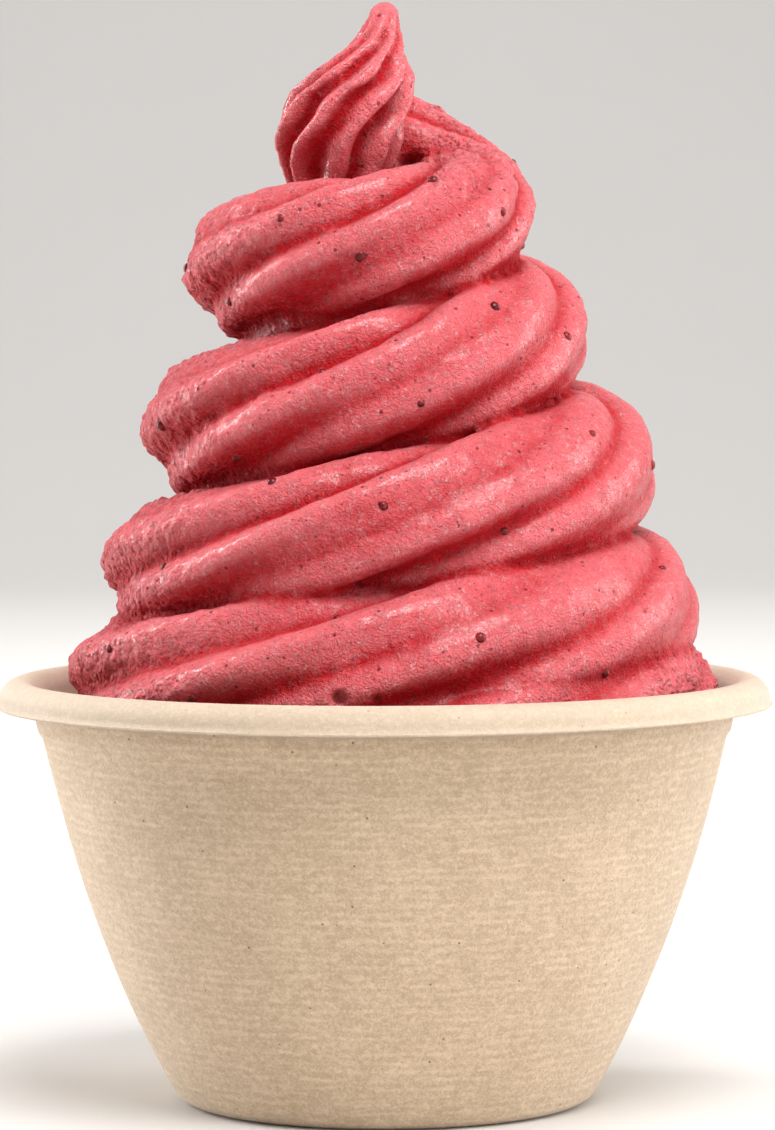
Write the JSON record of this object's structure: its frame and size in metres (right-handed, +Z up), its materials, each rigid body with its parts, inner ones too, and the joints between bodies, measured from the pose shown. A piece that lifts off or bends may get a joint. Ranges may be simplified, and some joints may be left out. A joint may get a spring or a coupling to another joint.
{
  "type": "ice cream cup",
  "caption": "Tall ridged swirl of pink berry soft serve with dark seeds, standing in a round tapered moulded-pulp cup with a rolled rim.",
  "frame": {"origin": "centre of the cup's flat base, on the surface it stands on", "axes": "+Z up along the cup's axis, -Y towards the front of the picture, +X to its right"},
  "size_m": [0.114, 0.114, 0.1615],
  "materials": {
    "pulp": "unbleached pressed plant-fibre pulp, matte, with fine wire marks and flecks",
    "berry_soft_serve": "icy berry soft serve, softly glossy, grainy, slightly translucent",
    "berry_seed": "small wet berry seeds, dark maroon, glossy"
  },
  "bodies": {
    "root": {"cup": "pulp", "soft_serve": "berry_soft_serve"}
  },
  "joints": []
}
